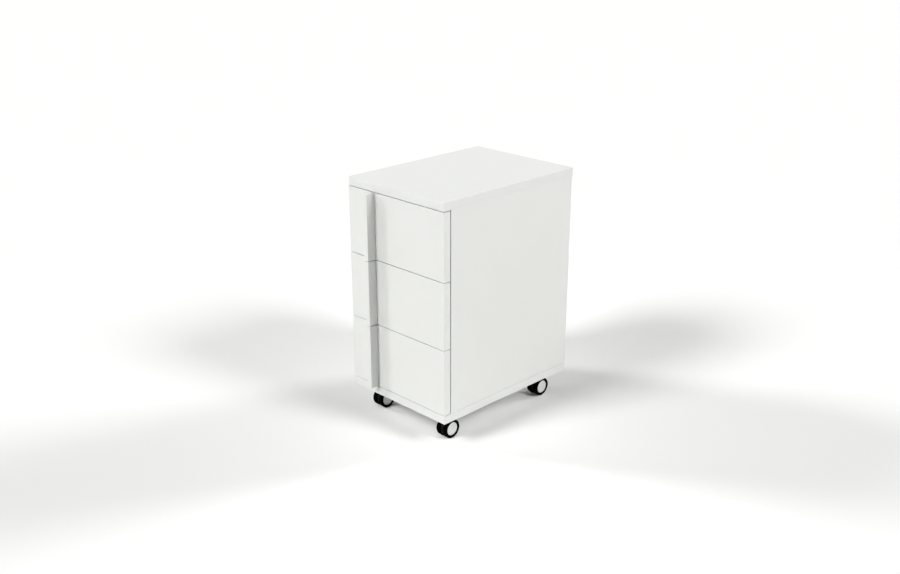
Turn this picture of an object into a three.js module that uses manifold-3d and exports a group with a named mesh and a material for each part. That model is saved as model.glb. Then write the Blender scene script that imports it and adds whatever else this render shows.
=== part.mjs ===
// Rolling pedestal cabinet: a laminated board carcass with three steel-sided drawers on
// roller runners, one upright bar pull on each drawer front, and four twin-wheel casters.
//
// Units are millimetres and +Z is up. The drawers open towards -Y. The origin is on the
// floor, under the middle of the whole cabinet with its pulls.

import * as THREE from 'three';
import { mergeVertices } from 'three/addons/utils/BufferGeometryUtils.js';
import Module from 'manifold-3d';

const wasm = await Module();
wasm.setup();

// ---------------------------------------------------------------------------
// Driving dimensions
// ---------------------------------------------------------------------------

// Whole cabinet
const cabinetWidth = 340;
const cabinetDepth = 467; // drawer faces to the rear edge of the top board
const carcassHeight = 570; // underside of the bottom board to the top surface
const drawerCount = 3;

// Boards of the carcass
const boardThickness = 22; // top and bottom boards
const sideThickness = 18;
const backThickness = 3;
const backInset = 6; // back panel's edges, in from the carcass's sides and underside
const seatGap = 0.1; // left between flat faces that are drawn tight together

// Drawer fronts
const frontThickness = 20;
const frontStandOff = 3; // drawer front's rear face to the side panels' front edges
const frontReveal = 2; // gap above, below and between the drawer fronts

// Bar pulls, as tall as the fronts that they are screwed to
const pullWidth = 16;
const pullProjection = 25;
const pullOffset = 80.25; // left edge of the front to the left face of the pull
const pullCornerRadius = 1.5;
const pullScrewSpacings = [64, 96, 128, 160, 192]; // made in these; the widest that fits
const pullScrewRoom = 5; // least distance from the lower screw to the drawer's bottom board
const pullScrewDepth = 14;
const pullScrewRadius = 2;
const pullScrewClearance = 0.3; // round the screw, where it passes through the front

// Folded steel of the drawer sides and runners
const sheetThickness = 1.2;
const rollerTrack = 17; // clear height inside both runner channels
const channelDepth = 5.8; // how far each runner channel stands out from its wall
const channelClearance = 0.5; // between the cabinet's channel and the drawer's

// Drawer boxes, as long as their runners
const drawerSideHeights = [54, 86, 118, 150, 182]; // made in these; the tallest that fits
const drawerHeadroom = 20; // least height from the drawer side to the front's upper edge
const drawerRise = 18; // lower edge of the front to the lower edge of the drawer side
const drawerTrackRise = 16; // lower edge of the drawer side to the channel's floor
const drawerFlange = 14; // width of the ledge that carries the drawer's bottom
const drawerHem = 6; // width of the folded top edge
const drawerHemLip = 4; // height of the folded top edge
const drawerBottomThickness = 12;
const drawerBackThickness = 12;

// Runner rails on the side panels
const runnerLengthStep = 50; // runners are made in multiples of this; the longest that fits
const runnerRearSpace = 15; // least distance from the runner to the back panel
const railSetBack = 3; // front edge of the side panel to the front end of the rail
const railFlangeHeight = 16; // flat strip above the channel, which takes the screws
const railScrewRadius = 2.5;
const railScrewInset = 37; // first and last screw, in from the rail's ends
const railScrewCount = 3;

// Casters
const casterInsetSide = 48; // swivel axis to the side of the cabinet
const casterInsetFront = 75.5; // swivel axis to the drawer faces
const casterInsetRear = 42.5; // swivel axis to the rear edge of the top board
const casterTrail = 16; // swivel axis to wheel axle
const axleDiameter = 6;
const runningClearance = 0.2; // round a pin that turns in its hole

// Wheels: a moulded core with a hub cap on its outer face, inside a soft tyre
const wheelDiameter = 50;
const wheelWidth = 11.5;
const wheelGap = 10.5; // between the inner faces of a caster's two wheels
const coreDiameter = 35;
const coreRecess = 0.8; // the core's faces, in from the tyre's
const coreEdge = 0.6; // slope at the core's rim
const hubCapRadius = 6;
const hubCapDepth = 0.7;
const axleStop = 3; // material left over the end of the axle
const tyreShoulder = 3; // width of the slope from the tread to the tyre's face
const tyreShoulderDrop = 1.4; // height of that slope

// Caster plates, stems and swivel housings
const plateSize = 50;
const plateThickness = 2.5;
const plateCornerRadius = 6;
const plateScrewSpacing = 38;
const plateScrewRadius = 2.5;
const stemDiameter = 6;
const stemLength = 23; // below the plate
const headDiameter = 26; // round top of the swivel housing
const headHeight = 14.6;
const headShoulder = 3; // slope round the head's lower edge
const headClearance = 1.4; // above the wheels, and under the plate
const stemEndClearance = 0.5; // below the stem, in its blind hole
const webClearance = 0.8; // between the housing's web and each wheel
const webWall = 6; // material of the web behind the stem
const webSetback = 3.5; // edge of the round web inside the wheels' rims

// How finely round pieces are divided. The wheels' number divides by four, so that each
// stands on a flat facet.
const wheelSegments = 24;
const pinSegments = 16;
const holeSegments = 12;

// ---------------------------------------------------------------------------
// Places worked out from the driving dimensions
// ---------------------------------------------------------------------------

const halfWidth = cabinetWidth / 2;
const rearPlaneY = (cabinetDepth + pullProjection) / 2;
const frontPlaneY = rearPlaneY - cabinetDepth;
const frontRearY = frontPlaneY + frontThickness;
const sideFrontY = frontRearY + frontStandOff;
const carcassRearY = rearPlaneY - backThickness - seatGap;

const wheelRadius = wheelDiameter / 2;
const coreRadius = coreDiameter / 2;
const axleRadius = axleDiameter / 2;
const headUndersideZ = wheelDiameter + headClearance;
const headTopZ = headUndersideZ + headHeight;
const plateUndersideZ = headTopZ + headClearance;
const webThickness = wheelGap - 2 * webClearance;

const undersideZ = plateUndersideZ + plateThickness + seatGap;
const bottomBoardTopZ = undersideZ + boardThickness;
const topSurfaceZ = undersideZ + carcassHeight;
const topBoardUndersideZ = topSurfaceZ - boardThickness;

const openingHeight = topBoardUndersideZ - bottomBoardTopZ;
const frontHeight = (openingHeight - (drawerCount + 1) * frontReveal) / drawerCount;
const pullCentreX = -halfWidth + pullOffset + pullWidth / 2;

const insideHalfWidth = halfWidth - sideThickness;
const drawerHalfWidth = insideHalfWidth - seatGap - 2 * channelDepth - channelClearance;
const runnerSpace = carcassRearY - sideFrontY - railSetBack - runnerRearSpace;
const runnerLength = runnerLengthStep * Math.floor(runnerSpace / runnerLengthStep);
const drawerBackY = frontRearY + seatGap + runnerLength;
const drawerSideHeight = largestThatFits(drawerSideHeights, frontHeight - drawerRise - drawerHeadroom);

// Heights above the lower edge of a drawer front
const drawerBottomUnderside = drawerRise + sheetThickness + seatGap;
const drawerBottomTop = drawerBottomUnderside + drawerBottomThickness;
const lowestPullScrew = drawerBottomTop + pullScrewRoom;
const pullScrewSpacing = largestThatFits(pullScrewSpacings, frontHeight - 2 * lowestPullScrew);

function largestThatFits(sizes, limit) {
  return Math.max(...sizes.filter((size) => size <= limit));
}

// ---------------------------------------------------------------------------
// Finishes
// ---------------------------------------------------------------------------

const finishes = {
  laminate: { color: 0xecedee, roughness: 0.45, metalness: 0 },
  backPanel: { color: 0xe6e6e4, roughness: 0.6, metalness: 0 },
  drawerBoard: { color: 0xdcdcda, roughness: 0.6, metalness: 0 },
  pull: { color: 0xe9eaeb, roughness: 0.4, metalness: 0 },
  coatedSteel: { color: 0xe2e3e4, roughness: 0.35, metalness: 0.1 },
  zincSteel: { color: 0xb4b8bc, roughness: 0.35, metalness: 0.9 },
  housing: { color: 0x151617, roughness: 0.5, metalness: 0 },
  tyre: { color: 0x101112, roughness: 0.75, metalness: 0 },
  wheelCore: { color: 0xd8dadb, roughness: 0.5, metalness: 0 },
};

// ---------------------------------------------------------------------------
// Helpers
// ---------------------------------------------------------------------------

function positionsOnly(geometry) {
  const bare = geometry.clone();
  for (const name of Object.keys(bare.attributes)) {
    if (name !== 'position') bare.deleteAttribute(name);
  }
  return mergeVertices(bare);
}

function toSolid(geometry) {
  const bare = positionsOnly(geometry);
  const corners = bare.index.array;
  const triVerts = [];
  for (let i = 0; i < corners.length; i += 3) {
    const [a, b, c] = [corners[i], corners[i + 1], corners[i + 2]];
    if (a !== b && b !== c && c !== a) triVerts.push(a, b, c);
  }
  return new wasm.Manifold(new wasm.Mesh({
    numProp: 3,
    vertProperties: new Float32Array(bare.attributes.position.array),
    triVerts: new Uint32Array(triVerts),
  }));
}

function toGeometry(solid) {
  const mesh = solid.getMesh();
  const geometry = new THREE.BufferGeometry();
  geometry.setAttribute('position', new THREE.BufferAttribute(mesh.vertProperties, 3));
  geometry.setIndex(new THREE.BufferAttribute(mesh.triVerts, 1));
  geometry.computeVertexNormals();
  return geometry;
}

// A body with other geometries joined to it, and then holes cut through it.
function joinAndCut(body, additions, cuts) {
  let solid = toSolid(body);
  for (const addition of additions) solid = solid.add(toSolid(addition));
  for (const cut of cuts) solid = solid.subtract(toSolid(cut));
  return toGeometry(solid);
}

function block(x0, x1, y0, y1, z0, z1) {
  const geometry = new THREE.BoxGeometry(x1 - x0, y1 - y0, z1 - z0);
  return geometry.translate((x0 + x1) / 2, (y0 + y1) / 2, (z0 + z1) / 2);
}

function extrude(shape, depth) {
  return new THREE.ExtrudeGeometry(shape, { depth, bevelEnabled: false, curveSegments: 6 });
}

// A section drawn in X and Z, run from y0 to y1.
function extrudeAlongY(shape, y0, y1) {
  return extrude(shape, y1 - y0).rotateX(Math.PI / 2).translate(0, y1, 0);
}

// A section drawn in Y and Z, run from x0 to x1.
function extrudeAlongX(shape, x0, x1) {
  const turn = new THREE.Matrix4().makeBasis(
    new THREE.Vector3(0, 1, 0),
    new THREE.Vector3(0, 0, 1),
    new THREE.Vector3(1, 0, 0),
  );
  return extrude(shape, x1 - x0).applyMatrix4(turn).translate(x0, 0, 0);
}

function polygon(points) {
  return new THREE.Shape(points.map(([u, v]) => new THREE.Vector2(u, v)));
}

// A round pin or drill along Y before it is turned: length, then where it is centred.
function pin(radius, length, segments) {
  return new THREE.CylinderGeometry(radius, radius, length, segments);
}

function pinAlongX(radius, length, segments, x, y, z) {
  return pin(radius, length, segments).rotateZ(Math.PI / 2).translate(x, y, z);
}

function pinAlongY(radius, length, segments, x, y, z) {
  return pin(radius, length, segments).translate(x, y, z);
}

function pinAlongZ(radius, length, segments, x, y, z) {
  return pin(radius, length, segments).rotateX(Math.PI / 2).translate(x, y, z);
}

// A turned solid about X. Each point is a distance along X and a radius. The radii are to
// the middle of each facet, and the lowest facet lies flat.
function turnedAboutX(points) {
  const facetStretch = 1 / Math.cos(Math.PI / wheelSegments);
  const profile = points.map(([along, radius]) => new THREE.Vector2(radius * facetStretch, along));
  const lathe = new THREE.LatheGeometry(profile, wheelSegments);
  const turn = new THREE.Matrix4().makeBasis(
    new THREE.Vector3(0, 0, 1),
    new THREE.Vector3(1, 0, 0),
    new THREE.Vector3(0, 1, 0),
  );
  return lathe.rotateY(Math.PI / wheelSegments).applyMatrix4(turn);
}

const cabinet = new THREE.Group();

function addPiece(parent, name, geometry, finish, position = [0, 0, 0]) {
  const material = new THREE.MeshStandardMaterial(finishes[finish]);
  const mesh = new THREE.Mesh(geometry, material);
  mesh.name = name;
  mesh.position.set(...position);
  parent.add(mesh);
}

// ---------------------------------------------------------------------------
// Carcass
// ---------------------------------------------------------------------------

function addCarcass() {
  const sideBottomZ = bottomBoardTopZ + seatGap;
  const sideTopZ = topBoardUndersideZ - seatGap;

  const topBoard = block(-halfWidth, halfWidth, frontPlaneY, rearPlaneY, topBoardUndersideZ, topSurfaceZ);
  addPiece(cabinet, 'top_board', topBoard, 'laminate');

  const bottomBoard = block(-halfWidth, halfWidth, frontPlaneY, carcassRearY, undersideZ, bottomBoardTopZ);
  addPiece(cabinet, 'bottom_board', bottomBoard, 'laminate');

  const leftSide = block(-halfWidth, -insideHalfWidth, sideFrontY, carcassRearY, sideBottomZ, sideTopZ);
  addPiece(cabinet, 'left_side_panel', leftSide, 'laminate');

  const rightSide = block(insideHalfWidth, halfWidth, sideFrontY, carcassRearY, sideBottomZ, sideTopZ);
  addPiece(cabinet, 'right_side_panel', rightSide, 'laminate');

  const backHalfWidth = halfWidth - backInset;
  const backPanel = block(
    -backHalfWidth, backHalfWidth,
    rearPlaneY - backThickness, rearPlaneY,
    undersideZ + backInset, sideTopZ,
  );
  addPiece(cabinet, 'back_panel', backPanel, 'backPanel');
}

// ---------------------------------------------------------------------------
// Drawers and their runners
// ---------------------------------------------------------------------------

// Lower edge of a drawer front. Drawer 0 is the top one.
function frontBottomZ(index) {
  return topBoardUndersideZ - (index + 1) * (frontHeight + frontReveal);
}

// Folded section of a drawer side, with its lower outer corner at (0, 0). `outward` is 1
// for the right side and -1 for the left. From below: the ledge for the drawer's bottom,
// the two flanges of the runner channel, and the folded top edge.
function drawerSideSection(outward) {
  const trackFloor = drawerTrackRise;
  const trackRoof = drawerTrackRise + rollerTrack;
  const section = [
    [-drawerFlange, 0],
    [0, 0],
    [0, trackFloor - sheetThickness],
    [channelDepth, trackFloor - sheetThickness],
    [channelDepth, trackFloor],
    [0, trackFloor],
    [0, trackRoof],
    [channelDepth, trackRoof],
    [channelDepth, trackRoof + sheetThickness],
    [0, trackRoof + sheetThickness],
    [0, drawerSideHeight],
    [-drawerHem, drawerSideHeight],
    [-drawerHem, drawerSideHeight - drawerHemLip],
    [-drawerHem + sheetThickness, drawerSideHeight - drawerHemLip],
    [-drawerHem + sheetThickness, drawerSideHeight - sheetThickness],
    [-sheetThickness, drawerSideHeight - sheetThickness],
    [-sheetThickness, sheetThickness],
    [-drawerFlange, sheetThickness],
  ];
  return polygon(section.map(([u, v]) => [u * outward, v]));
}

// Section of the rail on a side panel, with its back on the panel and the channel's floor
// at zero height. `inward` is -1 on the right panel and 1 on the left.
function railSection(inward) {
  const section = [
    [0, -sheetThickness],
    [channelDepth, -sheetThickness],
    [channelDepth, 0],
    [sheetThickness, 0],
    [sheetThickness, rollerTrack],
    [channelDepth, rollerTrack],
    [channelDepth, rollerTrack + sheetThickness],
    [sheetThickness, rollerTrack + sheetThickness],
    [sheetThickness, rollerTrack + sheetThickness + railFlangeHeight],
    [0, rollerTrack + sheetThickness + railFlangeHeight],
  ];
  return polygon(section.map(([u, v]) => [u * inward, v]));
}

function addRail(name, index, outward) {
  const startY = sideFrontY + railSetBack;
  const bar = extrudeAlongY(railSection(-outward), startY, startY + runnerLength);

  const screwZ = rollerTrack + sheetThickness + railFlangeHeight / 2;
  const screwStep = (runnerLength - 2 * railScrewInset) / (railScrewCount - 1);
  const holes = [];
  for (let i = 0; i < railScrewCount; i += 1) {
    const screwY = startY + railScrewInset + i * screwStep;
    holes.push(pinAlongX(railScrewRadius, 4 * sheetThickness, holeSegments, 0, screwY, screwZ));
  }

  const trackFloorZ = frontBottomZ(index) + drawerRise + drawerTrackRise;
  const position = [outward * (insideHalfWidth - seatGap), 0, trackFloorZ];
  addPiece(cabinet, name, joinAndCut(bar, [], holes), 'coatedSteel', position);
}

// A drawer front with a clearance hole for each screw of its pull.
function drawerFront() {
  const board = block(-halfWidth, halfWidth, frontPlaneY, frontRearY, 0, frontHeight);
  const holeRadius = pullScrewRadius + pullScrewClearance;
  const middleY = (frontPlaneY + frontRearY) / 2;
  const holes = pullScrewHeights().map((z) => (
    pinAlongY(holeRadius, 2 * frontThickness, holeSegments, pullCentreX, middleY, z)
  ));
  return joinAndCut(board, [], holes);
}

function pullScrewHeights() {
  return [-1, 1].map((side) => frontHeight / 2 + side * pullScrewSpacing / 2);
}

// A solid bar, rounded along its two outer corners, with blind screw holes in its back.
function barPull() {
  const left = -pullWidth / 2;
  const right = pullWidth / 2;
  const outer = -pullProjection;
  const back = -seatGap;
  const radius = pullCornerRadius;
  const section = new THREE.Shape();
  section.moveTo(left, back);
  section.lineTo(left, outer + radius);
  section.absarc(left + radius, outer + radius, radius, Math.PI, 1.5 * Math.PI);
  section.lineTo(right - radius, outer);
  section.absarc(right - radius, outer + radius, radius, 1.5 * Math.PI, 2 * Math.PI);
  section.lineTo(right, back);
  const bar = extrude(section, frontHeight);

  const holes = pullScrewHeights().map((z) => (
    pinAlongY(pullScrewRadius, 2 * pullScrewDepth, holeSegments, 0, back, z)
  ));
  return joinAndCut(bar, [], holes);
}

function addDrawer(index) {
  const label = `drawer_${index + 1}`;
  const drawer = new THREE.Group();
  drawer.position.z = frontBottomZ(index);
  cabinet.add(drawer);

  addPiece(drawer, `${label}_front`, drawerFront(), 'laminate');
  addPiece(drawer, `${label}_pull`, barPull(), 'pull', [pullCentreX, frontPlaneY, 0]);

  const boxStartY = frontRearY + seatGap;
  for (const [sideName, outward] of [['left', -1], ['right', 1]]) {
    const side = extrudeAlongY(drawerSideSection(outward), boxStartY, drawerBackY);
    const position = [outward * drawerHalfWidth, 0, drawerRise];
    addPiece(drawer, `${label}_${sideName}_side`, side, 'coatedSteel', position);
  }

  const boardHalfWidth = drawerHalfWidth - sheetThickness - seatGap;
  const bottom = block(
    -boardHalfWidth, boardHalfWidth,
    boxStartY, drawerBackY,
    drawerBottomUnderside, drawerBottomTop,
  );
  addPiece(drawer, `${label}_bottom`, bottom, 'drawerBoard');

  const backStartY = drawerBackY - drawerBackThickness;
  const backTopZ = drawerRise + drawerSideHeight - drawerHemLip - seatGap;
  const back = block(
    -boardHalfWidth, boardHalfWidth,
    backStartY, drawerBackY,
    drawerBottomTop + seatGap, backTopZ,
  );
  addPiece(drawer, `${label}_back`, back, 'drawerBoard');
}

// ---------------------------------------------------------------------------
// Casters, drawn about their swivel axis, with the wheels ahead of it towards -Y
// ---------------------------------------------------------------------------

// Mounting plate with its swivel stem, which is riveted into it.
function casterPlate() {
  const half = plateSize / 2;
  const inner = half - plateCornerRadius;
  const outline = new THREE.Shape();
  for (const [i, [x, y]] of [[1, -1], [1, 1], [-1, 1], [-1, -1]].entries()) {
    const start = (i - 1) * Math.PI / 2;
    outline.absarc(x * inner, y * inner, plateCornerRadius, start, start + Math.PI / 2);
  }
  const plate = extrude(outline, plateThickness).translate(0, 0, plateUndersideZ);

  const stemTopZ = plateUndersideZ + plateThickness / 2;
  const stemBottomZ = plateUndersideZ - stemLength;
  const stemMiddleZ = (stemTopZ + stemBottomZ) / 2;
  const stem = pinAlongZ(stemDiameter / 2, stemTopZ - stemBottomZ, pinSegments, 0, 0, stemMiddleZ);

  const holes = [];
  for (const x of [-1, 1]) {
    for (const y of [-1, 1]) {
      const offset = plateScrewSpacing / 2;
      const drill = pinAlongZ(
        plateScrewRadius, 4 * plateThickness, holeSegments,
        x * offset, y * offset, plateUndersideZ,
      );
      holes.push(drill);
    }
  }
  return joinAndCut(plate, [stem], holes);
}

// Swivel housing: a flat web between the wheels, round the axle, and a round head above
// them, which turns on the plate's stem.
function casterHousing() {
  const webRadius = wheelRadius - webSetback;
  const stemRadius = stemDiameter / 2;
  const webRearY = stemRadius + webWall;
  const overlap = 1; // of the web into the head above it, and below the end of the stem

  const web = new THREE.Shape();
  web.absarc(-casterTrail, wheelRadius, webRadius, 0.55 * Math.PI, 1.75 * Math.PI);
  web.lineTo(webRearY, plateUndersideZ - stemLength - overlap);
  web.lineTo(webRearY, headUndersideZ + overlap);
  web.lineTo(-casterTrail, headUndersideZ + overlap);
  const webSolid = extrudeAlongX(web, -webThickness / 2, webThickness / 2);

  const headRadius = headDiameter / 2;
  const profile = [
    [0, headUndersideZ],
    [headRadius - headShoulder, headUndersideZ],
    [headRadius, headUndersideZ + headShoulder],
    [headRadius, headTopZ - headShoulder / 2],
    [headRadius - headShoulder / 2, headTopZ],
    [0, headTopZ],
  ];
  const points = profile.map(([radius, z]) => new THREE.Vector2(radius, z));
  const head = new THREE.LatheGeometry(points, wheelSegments).rotateX(Math.PI / 2);

  const boreRadius = stemRadius + runningClearance;
  const boreDepth = stemLength - headClearance + stemEndClearance;
  const stemBore = pinAlongZ(
    boreRadius, 2 * boreDepth, pinSegments,
    0, 0, headTopZ,
  );
  const axleBore = pinAlongX(
    axleRadius + runningClearance, 2 * wheelGap, pinSegments,
    0, -casterTrail, wheelRadius,
  );
  return joinAndCut(webSolid, [head], [stemBore, axleBore]);
}

// Wheel profiles run from the inner face, at 0, to the outer face, at wheelWidth.
function wheelCoreProfile() {
  const innerFace = coreRecess;
  const outerFace = wheelWidth - coreRecess;
  const boreRadius = axleRadius + runningClearance;
  return [
    [outerFace - hubCapDepth, 0],
    [outerFace - hubCapDepth, hubCapRadius],
    [outerFace, hubCapRadius + hubCapDepth],
    [outerFace, coreRadius - coreEdge],
    [outerFace - coreEdge, coreRadius],
    [innerFace + coreEdge, coreRadius],
    [innerFace, coreRadius - coreEdge],
    [innerFace, boreRadius],
    [wheelWidth - axleStop, boreRadius],
    [wheelWidth - axleStop, 0],
  ].reverse();
}

function tyreProfile() {
  const boreRadius = coreRadius + seatGap;
  const edgeRadius = wheelRadius - tyreShoulderDrop;
  const profile = [
    [coreRecess / 2, boreRadius],
    [0, boreRadius + coreRecess],
    [0, edgeRadius - tyreShoulderDrop / 2],
    [tyreShoulder / 4, edgeRadius],
    [tyreShoulder, wheelRadius],
  ];
  const mirrored = profile.map(([along, radius]) => [wheelWidth - along, radius]).reverse();
  const closed = [...profile, ...mirrored];
  return [...closed, closed[0]];
}

function addCaster(label, swivelX, swivelY) {
  const caster = new THREE.Group();
  caster.position.set(swivelX, swivelY, 0);
  cabinet.add(caster);

  addPiece(caster, `${label}_caster_plate`, casterPlate(), 'zincSteel');
  addPiece(caster, `${label}_caster_housing`, casterHousing(), 'housing');

  const axleReach = wheelGap / 2 + wheelWidth - axleStop - runningClearance;
  const axle = pinAlongX(axleRadius, 2 * axleReach, pinSegments, 0, 0, 0);
  const axlePosition = [0, -casterTrail, wheelRadius];
  addPiece(caster, `${label}_caster_axle`, axle, 'zincSteel', axlePosition);

  for (const [sideName, outward] of [['left', -1], ['right', 1]]) {
    const wheel = new THREE.Group();
    wheel.position.set(outward * wheelGap / 2, -casterTrail, wheelRadius);
    wheel.rotation.z = outward > 0 ? 0 : Math.PI;
    caster.add(wheel);
    addPiece(wheel, `${label}_${sideName}_wheel_core`, turnedAboutX(wheelCoreProfile()), 'wheelCore');
    addPiece(wheel, `${label}_${sideName}_wheel_tyre`, turnedAboutX(tyreProfile()), 'tyre');
  }
}

// ---------------------------------------------------------------------------
// The cabinet
// ---------------------------------------------------------------------------

addCarcass();

for (let index = 0; index < drawerCount; index += 1) {
  addRail(`runner_${index + 1}_left_rail`, index, -1);
  addRail(`runner_${index + 1}_right_rail`, index, 1);
  addDrawer(index);
}

const swivelOffsetX = halfWidth - casterInsetSide;
const frontSwivelY = frontPlaneY + casterInsetFront;
const rearSwivelY = rearPlaneY - casterInsetRear;
addCaster('front_left', -swivelOffsetX, frontSwivelY);
addCaster('front_right', swivelOffsetX, frontSwivelY);
addCaster('rear_left', -swivelOffsetX, rearSwivelY);
addCaster('rear_right', swivelOffsetX, rearSwivelY);

export default cabinet;
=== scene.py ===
import math

import bmesh
import bpy
from bpy.props import FloatProperty, FloatVectorProperty, IntProperty, PointerProperty
from mathutils import Matrix, Vector


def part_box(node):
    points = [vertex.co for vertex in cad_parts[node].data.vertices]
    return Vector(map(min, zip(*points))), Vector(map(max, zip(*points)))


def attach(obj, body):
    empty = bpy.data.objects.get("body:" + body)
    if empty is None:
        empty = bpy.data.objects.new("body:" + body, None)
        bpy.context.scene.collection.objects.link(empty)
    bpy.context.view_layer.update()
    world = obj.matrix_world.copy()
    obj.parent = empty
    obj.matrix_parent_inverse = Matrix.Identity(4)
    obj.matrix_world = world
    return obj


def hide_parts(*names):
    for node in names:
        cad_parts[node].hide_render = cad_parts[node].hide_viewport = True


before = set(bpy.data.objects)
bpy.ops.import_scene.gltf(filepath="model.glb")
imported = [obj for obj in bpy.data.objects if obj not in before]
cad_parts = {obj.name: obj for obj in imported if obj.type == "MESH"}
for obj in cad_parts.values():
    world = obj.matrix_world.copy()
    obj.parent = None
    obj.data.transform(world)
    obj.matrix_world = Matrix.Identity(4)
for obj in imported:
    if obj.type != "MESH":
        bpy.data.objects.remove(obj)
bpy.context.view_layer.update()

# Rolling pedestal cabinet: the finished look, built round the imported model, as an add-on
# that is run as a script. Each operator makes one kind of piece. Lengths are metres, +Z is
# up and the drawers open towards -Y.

bl_info = {
    "name": "Rolling pedestal cabinet",
    "version": (1, 0, 0),
    "blender": (4, 5, 0),
    "location": "View3D > Sidebar > Pedestal",
    "description": "Builds the boards, drawers, runners and casters of a pedestal cabinet",
    "category": "Object",
}

MM = 0.001
X, Y, Z = 0, 1, 2  # an axis's place in a vector
WELD = 1e-6  # vertices closer than this are one
TOUCHING = 0.05 * MM  # measures closer than this are the same
SEAM = 0.1 * MM  # gap between boards that meet
FLAT = math.radians(1)  # faces that turn less than this are one flat face
SHARP = math.radians(30)  # edges that turn more than this are eased
ALONG = 0.9  # a unit vector with more than this on one axis runs along that axis

DRAWERS = (1, 2, 3)
SIDES = {"left": -1, "right": 1}
CORNERS = ("front_left", "front_right", "rear_left", "rear_right")


# ---------------------------------------------------------------------------------------
# Sizes and colours that a user would change
# ---------------------------------------------------------------------------------------

def linear(code):
    """Linear RGBA of a colour given as sRGB hex."""
    channels = [int(code[i:i + 2], 16) / 255 for i in (1, 3, 5)]
    return [c / 12.92 if c <= 0.04045 else ((c + 0.055) / 1.055) ** 2.4 for c in channels] + [1.0]


def length(name, description, millimetres):
    return FloatProperty(
        name=name, description=description, default=millimetres * MM,
        min=0.0, subtype="DISTANCE", unit="LENGTH", precision=5,
    )


def angle(name, description, degrees):
    return FloatProperty(
        name=name, description=description, default=math.radians(degrees),
        subtype="ANGLE", unit="ROTATION",
    )


def colour(name, description, code):
    return FloatVectorProperty(
        name=name, description=description, default=linear(code),
        size=4, min=0.0, max=1.0, subtype="COLOR",
    )


class PedestalSizes(bpy.types.PropertyGroup):
    """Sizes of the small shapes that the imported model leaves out."""

    banded_edge: length("Banded edge", "Radius of an edge-banded board's edges", 0.7)
    seated_edge: length("Seated edge", "Radius of the edges at the seam under the top board", 0.25)
    joint_edge: length("Joint edge", "Radius of the side panels' outer edges on the bottom board", 1.8)
    upright_edge: length("Upright edge", "Radius of the drawer fronts' thicker upright bands", 1.8)
    bar_edge: length("Bar edge", "Radius at the cut ends of the bar pulls", 0.3)
    sheet_edge: length("Sheet edge", "Radius along the edges and folds of sheet steel", 0.35)
    sheet_thickness: length("Sheet thickness", "Steel of the runners and drawer sides", 1.2)
    plate_edge: length("Plate edge", "Radius round a stamped caster plate", 0.4)
    moulded_edge: length("Moulded edge", "Radius along the edges of the moulded housings", 0.7)
    roller_diameter: length("Roller diameter", "Runner rollers, which run in the channels", 16.4)
    roller_clearance: length("Roller clearance", "Roller to the steel wall beside it", 0.4)
    bumper_diameter: length("Bumper diameter", "Clear dots behind the drawer fronts", 8.0)
    bumper_height: length("Bumper height", "Thickness of the clear dots", 2.4)
    bracket_reach: length("Bracket reach", "Each leg of the drawer fronts' angle brackets", 22.0)
    bracket_height: length("Bracket height", "Height of the angle brackets", 56.0)
    cam_diameter: length("Cam diameter", "Cam fittings that draw the boards together", 15.0)
    tread_shoulder: length("Tread shoulder", "Radius where a tyre's tread turns to its side", 1.2)
    guard_thickness: length("Guard thickness", "Thread guards on the wheels' inner faces", 0.4)
    wheel_facets: IntProperty(
        name="Wheel facets", description="Faces round a wheel", default=96, min=24, max=256,
    )


class PedestalColours(bpy.types.PropertyGroup):
    """Colours of the finishes."""

    laminate: colour("Laminate", "Melamine face of the boards", "#DADBD8")
    edge_band: colour("Edge band", "ABS band on the boards' edges", "#DADBD9")
    back_panel: colour("Back panel", "Lacquer on the hardboard back", "#D6D6D2")
    drawer_board: colour("Drawer board", "Melamine face inside the drawers", "#CBCBC8")
    pull: colour("Pull", "Powder coat on the bar pulls", "#DADBD9")
    coated_steel: colour("Coated steel", "Epoxy coat on the drawer sides and rails", "#D6D7D7")
    zinc: colour("Zinc", "Zinc plate on plates, pins and screws", "#B9BCC0")
    housing: colour("Housing", "Black nylon of the swivel housings", "#060607")
    tyre: colour("Tyre", "Black polyurethane of the treads", "#020202")
    wheel_core: colour("Wheel core", "Light grey nylon of the wheel discs", "#CDCECD")
    roller: colour("Roller", "White acetal of the runner rollers", "#E8E8E4")
    bumper: colour("Bumper", "Clear polyurethane behind the drawer fronts", "#E9EBE8")
    floor: colour("Floor", "Plain studio floor", "#F3F3F2")


class PedestalStudio(bpy.types.PropertyGroup):
    """Camera and light of the stage."""

    lens: FloatProperty(
        name="Lens", description="Focal length on a 36 mm sensor, in mm", default=43.59,
    )
    azimuth: angle("Azimuth", "Camera's way round, from the drawer fronts to the right side", 45.07)
    elevation: angle("Elevation", "Camera's height above the floor, seen from the aim", 20.52)
    distance: length("Distance", "Camera to the point that it aims at", 2867.0)
    floor_light: FloatProperty(
        name="Floor light", description="Brightness of the fully lit floor, where 1 is white",
        default=1.005, min=0.1, max=3.0,
    )
    floor_reach: length("Floor reach", "Middle of the floor to its edges", 30000.0)


# ---------------------------------------------------------------------------------------
# Finishes
# ---------------------------------------------------------------------------------------

def per_metre(millimetres):
    """Texture scale, in object space, for a pattern that repeats every so many millimetres."""
    return 1000 / millimetres


def add_node(tree, kind, settings=None, values=None, links=None):
    """Adds a node with its fields set, its inputs' values set, and its inputs linked."""
    node = tree.nodes.new(kind)
    for field, value in (settings or {}).items():
        setattr(node, field, value)
    for socket, value in (values or {}).items():
        node.inputs[socket].default_value = value
    for socket, source in (links or {}).items():
        tree.links.new(source, node.inputs[socket])
    return node


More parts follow.
